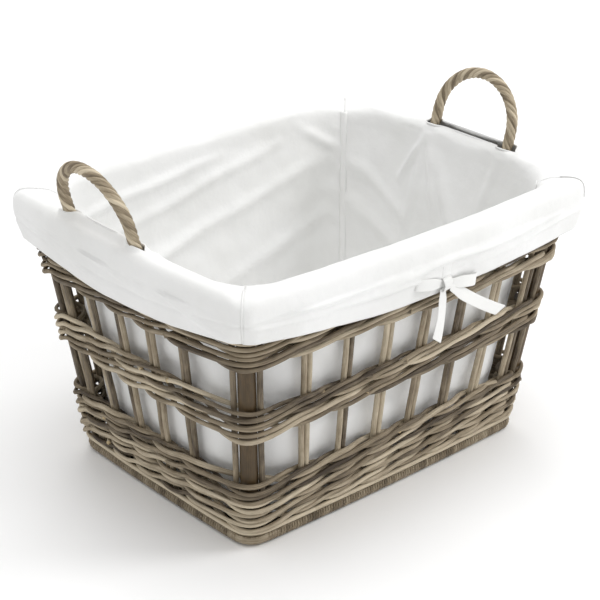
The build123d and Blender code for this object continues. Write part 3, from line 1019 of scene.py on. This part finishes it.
def build_panel(side):
    """One side of the liner: its wall, the roll over the rim and the hanging flap, in one sheet."""
    name = SIDES[side]
    bm = bmesh.new()
    flat = {}
    for part, rows in (("wall", WALL_ROWS + ROLL_ROWS), ("flap", ROLL_ROWS + FLAP_ROWS)):
        grid = bmesh.ops.create_grid(bm, x_segments=PANEL_COLUMNS, y_segments=rows, size=1)
        laid = []
        for vert in grid["verts"]:
            share, row = vert.co.x, round((vert.co.y + 1) / 2 * rows)
            spot, travel = cloth_spot(side, share, row, part)
            laid.append((vert, share, row, spot))
            flat[vert] = (along_side(side, spot), travel)
        for vert, share, row, spot in laid:
            vert.co = spot
        bm.normal_update()
        slit = rows if part == "wall" else 0
        for vert, share, row, spot in laid:
            way = Vector((0, 0, 1)) if row == slit else -vert.normal
            vert.co = spot + way * cloth_relief(side, share, spot, row, part)
    lay_cloth_map(bm, flat.get)
    bmesh.ops.remove_doubles(bm, verts=bm.verts, dist=SLIT_MERGE)
    bmesh.ops.reverse_faces(bm, faces=bm.faces)
    replaced = [f"liner_wall_{name}", f"turnover_{name}"]
    cotton = finish("washed_cotton")
    piece = finish_piece(bm, f"liner_panel_{name}", cotton, "liner", replaced)
    thicken(piece, CLOTH)


def build_floor():
    """The liner's bottom, sewn to the four walls."""
    bm = bmesh.new()
    bmesh.ops.create_grid(bm, x_segments=90, y_segments=70, size=1)
    for vert in bm.verts:
        across, deep = vert.co.x, vert.co.y
        share = max(abs(across), abs(deep))
        if share < 1e-6:
            vert.co = Vector((0, 0, CLOTH_FLOOR))
            continue
        if abs(deep) >= abs(across):
            turn = 1 + across / share if deep < 0 else 5 - across / share
        else:
            turn = 3 + deep / share if across > 0 else 7 - deep / share
        spot = wall_spot(turn, CLOTH_FLOOR, WALL_INSET, LINER_RADIUS) * share
        rise = 1.6 * MM * max(0.0, 0.5 + steady(2, spot.x * 14, spot.y * 14))
        rise += 0.6 * MM * max(0.0, steady(3, spot.x * 50, spot.y * 50))
        vert.co = Vector((spot.x, spot.y, CLOTH_FLOOR + rise * (1 - share**8)))
    lay_cloth_map(bm, lambda vert: vert.co.xy)
    cotton = finish("washed_cotton")
    piece = place_piece(bm, "liner_bottom", cotton, "liner", ["liner_floor"])
    thicken(piece, CLOTH, 1)


def place_trim(bm, name, replaced=()):
    """Makes the mesh under way one of the liner's sewn trims."""
    tape = finish("cotton_tape")
    return place_piece(bm, name, tape, "liner", replaced)


def sew_corner_seams():
    """The seams that join the flaps at the corners, from the slit to the hem."""
    store = new_cane_store()
    for corner in range(4):
        out = outward(2 * corner, 0.3)
        rows = range(0, ROLL_ROWS + FLAP_ROWS + 1, 2)
        spots = [cloth_spot(corner, -1, row, "flap")[0] + out * 0.1 * MM for row in rows]
        lay_cane(store, spots, SEAM_THREAD, 0.5, steps=3)
    bmesh.ops.remove_doubles(store, verts=store.verts, dist=0.001 * MM)
    place_trim(store, "liner_corner_seams")


def sew_placket():
    """The double-stitched strip above the bow, on the front flap."""
    bm = bmesh.new()
    bmesh.ops.create_grid(bm, x_segments=8, y_segments=40, size=1)
    reach = side_reach(0, RIM_HEIGHT, -2 * MM, 18 * MM)
    for vert in bm.verts:
        across, down = vert.co.x, (1 - vert.co.y) / 2
        share = (PLACKET_PLACE + 6 * across) * MM / reach
        row = ROLL_ROWS + 0.2 * FLAP_ROWS + 0.72 * FLAP_ROWS * down
        spot, _ = cloth_spot(0, share, row, "flap")
        stand = cloth_relief(0, share, spot, row, "flap") + TRIM_THICKNESS
        stitch = 0.5 * MM * math.exp(-(((abs(across) - 0.75) / 0.16) ** 2))
        vert.co = spot + outward(1 + share, 0.3) * (stand - stitch)
    lay_cloth_map(bm, lambda vert: vert.co.xz)
    thicken(place_trim(bm, "bow_placket"), TRIM_THICKNESS, -1)


def sew_corner_strips():
    """The tapes that bind the seams inside the four corners."""
    bm = bmesh.new()
    for corner in range(4):
        grid = bmesh.ops.create_grid(bm, x_segments=4, y_segments=110, size=1)
        for vert in grid["verts"]:
            across, up = vert.co.x, (vert.co.y + 1) / 2
            z = CLOTH_FLOOR + (TAPE_TOP - CLOTH_FLOOR) * up
            reach = side_reach(corner, z, WALL_INSET, LINER_RADIUS)
            turn = 2 * corner + across * HALF_TAPE / reach
            swell = (1.6 - 0.9 * across**2) * MM
            swell += 0.6 * MM * steady(corner, z * 90, across)
            vert.co = wall_spot(turn, z, WALL_INSET + swell, LINER_RADIUS - swell)
    lay_cloth_map(bm, lambda vert: vert.co.xz)
    tapes = place_trim(bm, "liner_corner_strips", ["liner_corner_tapes"])
    thicken(tapes, TRIM_THICKNESS, -1)


def bind_slots():
    """The hemmed edges of the slots for the handles."""
    steps, past = 60, 15 * MM
    for side in (1, 3):
        name = SIDES[side]
        feet = handle_feet(side)
        reach = side_reach(side, RIM_HEIGHT, 7.5 * MM, 36 * MM)
        store = new_cane_store()
        for part, row in (("flap", 0), ("wall", WALL_ROWS + ROLL_ROWS)):
            spots = []
            for step in range(steps + 1):
                along = feet[0] - past + (feet[1] - feet[0] + 2 * past) * step / steps
                spot, _ = cloth_spot(side, along / reach, row, part)
                spots.append(spot + Vector((0, 0, 0.5 * MM)))
            lay_cane(store, spots, HEM_CORD, 0.5, steps=2)
        bmesh.ops.remove_doubles(store, verts=store.verts, dist=0.001 * MM)
        place_trim(store, f"slot_edge_{name}", [f"slot_hem_{name}"])


def build_seams():
    """The liner's seams, tapes and slot hems, and the stitched strip above the bow."""
    sew_corner_seams()
    sew_placket()
    sew_corner_strips()
    bind_slots()


RIBBON = 14 * MM
LOOP_REACH, LOOP_CLOTH, KNOT_CLOTH = 21 * MM, 92 * MM, 42 * MM
LOOPS = {"left": (-1, 15), "right": (1, -9)}
# Both ends of each tail as (X, height), the way across it as (X, Z), slant of its cut end, its
# length and its sag along X and Z, all in mm.
TAILS = {
    "left": ((12, 262), (5, 203), (1, -0.1), 4, 58, (1.5, 0)),
    "right": ((24, 261), (105, 208), (0.55, 0.83), 5, 98, (0, -2.2)),
}


def sew_ribbon(name, lines, node, cut=0.0, closed=False):
    """A band of ribbon. lines gives (centre, way across, half width) for each place along it."""
    bm = bmesh.new()
    columns = len(lines) - 1
    bmesh.ops.create_grid(bm, x_segments=columns, y_segments=6, size=1)
    for vert in bm.verts:
        place, over = round((vert.co.x + 1) / 2 * columns), vert.co.y
        centre, across, half = lines[place]
        spot = centre + across * over * half
        if cut and place:
            way = (centre - lines[place - 1][0]).normalized()
            spot += way * cut * over * (place / columns) ** 3
        vert.co = spot
    if closed:
        bmesh.ops.remove_doubles(bm, verts=bm.verts, dist=0.05 * MM)
    lay_cloth_map(bm, lambda vert: vert.co.xz)
    piece = place_piece(bm, name, finish("satin_ribbon_weave"), "liner", [node])
    thicken(piece, 0.5 * MM)
    soft = piece.modifiers.new("soft ribbon", "SUBSURF")
    soft.levels = soft.render_levels = 1


def build_ribbon():
    """The bow: a wrapped knot, two loops and two cut tails."""
    knot_low, knot_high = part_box("ribbon_knot")
    knot = (knot_low + knot_high) / 2
    half = RIBBON / 2
    for name, (sign, rise) in LOOPS.items():
        tilt, steps = math.radians(rise), 40
        way = Vector((sign * math.cos(tilt), 0, math.sin(tilt)))
        across = Vector((-way.z * sign, 0, abs(way.x)))
        lines = []
        for step in range(steps + 1):
            angle = 2 * math.pi * step / steps
            out = (1 - math.cos(angle)) / 2
            centre = knot + way * (4 * MM + 2 * LOOP_REACH * out)
            puff = 4.6 * MM * math.sin(angle) * (0.35 + 0.65 * out)
            centre.y = knot.y + 1.0 * MM - puff - 1.6 * MM * out
            lines.append((centre, across, half * (0.62 + 0.38 * smooth_step(out, 0.0, 0.45))))
        node = f"ribbon_loop_{name}"
        sew_ribbon(f"bow_loop_{name}", lines, node, closed=True)
    for name, (start, stop, across, slant, length, sag) in TAILS.items():
        lines, steps = [], 24
        for step in range(steps + 1):
            share = step / steps
            x, z = Vector(start).lerp(Vector(stop), share) * MM
            hang = math.sin(math.pi * share) * MM
            y = knot.y - (1.2 + 1.6 * math.sin(2.6 * share) - 0.8 * share) * MM
            centre = Vector((x + sag[0] * hang, y, z + sag[1] * hang))
            twist = Matrix.Rotation(math.radians(9 * math.sin(4 * share)), 3, "Z")
            way = (twist @ Vector((across[0], 0, across[1]))).normalized()
            lines.append((centre, way, half * (0.6 + 0.4 * smooth_step(share, 0.0, 0.25))))
        node = f"ribbon_tail_{name}"
        sew_ribbon(f"bow_tail_{name}", lines, node, cut=slant * MM)
    lines, steps = [], 32
    for step in range(steps + 1):
        angle = 2 * math.pi * step / steps
        centre = knot + Vector((0, -4.6 * MM * math.cos(angle), 7.6 * MM * math.sin(angle)))
        wide = 6.2 * MM * (0.86 + 0.14 * abs(math.sin(angle * 2)))
        lines.append((centre, Vector((1, 0, 0.12)), wide))
    sew_ribbon("bow_knot", lines, "ribbon_knot", closed=True)


# Where the camera stands, which way it looks and how long its lens is.
CAMERA_PLACE, CAMERA_AZIMUTH, CAMERA_ELEVATION = (-1.1970, -1.3600, 1.0295), -41.309, 25.176
LENS, SENSOR = 104.08, 36
# Softboxes as place, size in metres and power in watts.
SOFTBOXES = {
    "key_softbox": ((1.9, -1.7, 2.1), 1.1, 34),
    "back_softbox": ((1.0, 1.9, 2.4), 1.6, 12),
}


def lay_floor():
    """A pale studio floor."""
    bm = bmesh.new()
    bmesh.ops.create_grid(bm, x_segments=1, y_segments=1, size=9)
    mesh = bpy.data.meshes.new("studio_floor")
    bm.to_mesh(mesh)
    bm.free()
    material, output = new_material("matt_white_paper")
    tree = material.node_tree
    source = add_node(tree, "ShaderNodeTexCoord")
    inputs = {"Vector": source.outputs["Object"], "Scale": 3, "Detail": 2}
    grain = add_node(tree, "ShaderNodeTexNoise", inputs)
    tint = add_node(tree, "ShaderNodeValToRGB", {"Fac": grain.outputs["Fac"]})
    set_stops(tint, [(0.3, linear("#f4f4f4")), (0.7, linear("#f8f8f8"))])
    inputs = {"Base Color": tint.outputs["Color"], "Roughness": 0.85, "Specular IOR Level": 0.2}
    shader = add_node(tree, "ShaderNodeBsdfPrincipled", inputs)
    tree.links.new(shader.outputs[0], output.inputs[0])
    mesh.materials.append(material)
    floor = bpy.data.objects.new("studio_floor", mesh)
    bpy.context.scene.collection.objects.link(floor)


def build_stage():
    """The floor, soft lights and the camera."""
    lay_floor()
    world = bpy.data.worlds.new("studio")
    world.use_nodes = True
    sky = world.node_tree.nodes["Background"]
    sky.inputs["Color"].default_value = (1, 1, 1, 1)
    sky.inputs["Strength"].default_value = 0.62
    bpy.context.scene.world = world
    # plain film response, so that white paper stays white
    bpy.context.scene.view_settings.view_transform = "Standard"

    for name, (place, size, power) in SOFTBOXES.items():
        lamp = bpy.data.lights.new(name, "AREA")
        lamp.energy, lamp.size = power, size
        holder = bpy.data.objects.new(name, lamp)
        holder.location = place
        aim = Vector(place) - Vector((0, 0, 0.2))
        holder.rotation_euler = aim.to_track_quat("Z", "Y").to_euler()
        bpy.context.scene.collection.objects.link(holder)
    ceiling = bpy.data.lights.new("ceiling_light", "SUN")
    ceiling.energy, ceiling.angle = 1.3, math.radians(50)
    holder = bpy.data.objects.new("ceiling_light", ceiling)
    bpy.context.scene.collection.objects.link(holder)

    azimuth, elevation = math.radians(CAMERA_AZIMUTH), math.radians(CAMERA_ELEVATION)
    back = Vector(
        (
            math.sin(azimuth) * math.cos(elevation),
            -math.cos(azimuth) * math.cos(elevation),
            math.sin(elevation),
        )
    )
    lens = bpy.data.cameras.new("camera")
    lens.lens, lens.sensor_width = LENS, SENSOR
    camera = bpy.data.objects.new("camera", lens)
    camera.location = CAMERA_PLACE
    camera.rotation_euler = (-back).to_track_quat("-Z", "Y").to_euler()
    bpy.context.scene.collection.objects.link(camera)
    bpy.context.scene.camera = camera


# ---------------------------------------------------------------- add-on


def colour_property(name, text, colour):
    return FloatVectorProperty(
        name=name, description=text, default=linear(colour), subtype="COLOR", min=0, max=1
    )


class BasketSizes(PropertyGroup):
    """Sizes that the weaver chooses."""

    rod_diameter: FloatProperty(
        name="Weaving rod",
        description="Diameter of the rods that are woven round the basket",
        default=5.3 * MM,
        unit="LENGTH",
    )


class BasketColours(PropertyGroup):
    """Colours of the canes and the cloth."""

    rattan: colour_property("Rattan", "Weathered rattan, middle tone", "#8e806a")
    rattan_light: colour_property("Light rattan", "Sunlit and rubbed fibres", "#cabda5")
    rattan_dark: colour_property("Dark rattan", "Stained fibres and shade", "#3b3023")
    post: colour_property("Corner poles", "Brown cane of the corner poles", "#54432a")
    cut_end: colour_property("Cut end", "Pale pith at a cut end", "#c9b48d")
    cotton: colour_property("Cotton", "White cotton cloth", "#f1f1f0")
    cotton_shade: colour_property("Cotton shade", "Slightly greyer cotton", "#e8e8e6")
    ribbon: colour_property("Ribbon", "White satin ribbon", "#f3f3f0")


class BASKET_OT_rows(Operator):
    """Weave the rows of rods round the stakes"""

    bl_idname = "basket.rows"
    bl_label = "Weave the rows"

    def execute(self, context):
        build_rows()
        return {"FINISHED"}


class BASKET_OT_border(Operator):
    """Weave the border under the liner's rim"""

    bl_idname = "basket.border"
    bl_label = "Weave the border"

    def execute(self, context):
        build_border()
        return {"FINISHED"}


class BASKET_OT_stakes(Operator):
    """Stand up the pairs of stakes"""

    bl_idname = "basket.stakes"
    bl_label = "Set the stakes"

    def execute(self, context):
        build_stakes()
        return {"FINISHED"}


class BASKET_OT_posts(Operator):
    """Stand up the corner poles"""

    bl_idname = "basket.posts"
    bl_label = "Set the corner poles"

    def execute(self, context):
        build_posts()
        return {"FINISHED"}


class BASKET_OT_base(Operator):
    """Bind the base hoop and weave the bottom"""

    bl_idname = "basket.base"
    bl_label = "Make the base"

    def execute(self, context):
        build_base()
        dress_frame()
        return {"FINISHED"}


class BASKET_OT_handles(Operator):
    """Twist the two handles"""

    bl_idname = "basket.handles"
    bl_label = "Twist the handles"

    def execute(self, context):
        build_handles()
        return {"FINISHED"}


class BASKET_OT_liner(Operator):
    """Sew the liner's panels and bottom"""

    bl_idname = "basket.liner"
    bl_label = "Sew the liner"

    def execute(self, context):
        for side in range(4):
            build_panel(side)
        build_floor()
        return {"FINISHED"}


class BASKET_OT_seams(Operator):
    """Add the liner's seams, tapes and slot hems"""

    bl_idname = "basket.seams"
    bl_label = "Sew the seams"

    def execute(self, context):
        build_seams()
        return {"FINISHED"}


class BASKET_OT_ribbon(Operator):
    """Tie the ribbon bow"""

    bl_idname = "basket.ribbon"
    bl_label = "Tie the bow"

    def execute(self, context):
        build_ribbon()
        return {"FINISHED"}


class BASKET_OT_stage(Operator):
    """Set up the floor, lights and camera"""

    bl_idname = "basket.stage"
    bl_label = "Set the stage"

    def execute(self, context):
        build_stage()
        return {"FINISHED"}


OPERATORS = (
    BASKET_OT_stage,
    BASKET_OT_base,
    BASKET_OT_posts,
    BASKET_OT_stakes,
    BASKET_OT_rows,
    BASKET_OT_border,
    BASKET_OT_handles,
    BASKET_OT_liner,
    BASKET_OT_seams,
    BASKET_OT_ribbon,
)


class BASKET_PT_panel(Panel):
    """The basket's steps, sizes and colours"""

    bl_idname = "BASKET_PT_panel"
    bl_label = "Laundry basket"
    bl_space_type = "VIEW_3D"
    bl_region_type = "UI"
    bl_category = "Basket"

    def draw(self, context):
        for group in (context.scene.basket_sizes, context.scene.basket_colours):
            for name in group.bl_rna.properties.keys():
                if name not in ("rna_type", "name"):
                    self.layout.prop(group, name)
        for operator in OPERATORS:
            self.layout.operator(operator.bl_idname)


CLASSES = (BasketSizes, BasketColours, *OPERATORS, BASKET_PT_panel)


def register():
    for cls in CLASSES:
        bpy.utils.register_class(cls)
    bpy.types.Scene.basket_sizes = PointerProperty(type=BasketSizes)
    bpy.types.Scene.basket_colours = PointerProperty(type=BasketColours)


def unregister():
    del bpy.types.Scene.basket_sizes
    del bpy.types.Scene.basket_colours
    for cls in reversed(CLASSES):
        bpy.utils.unregister_class(cls)


def main():
    register()
    for operator in OPERATORS:
        group, name = operator.bl_idname.split(".")
        getattr(getattr(bpy.ops, group), name)()


if __name__ == "__main__":
    main()
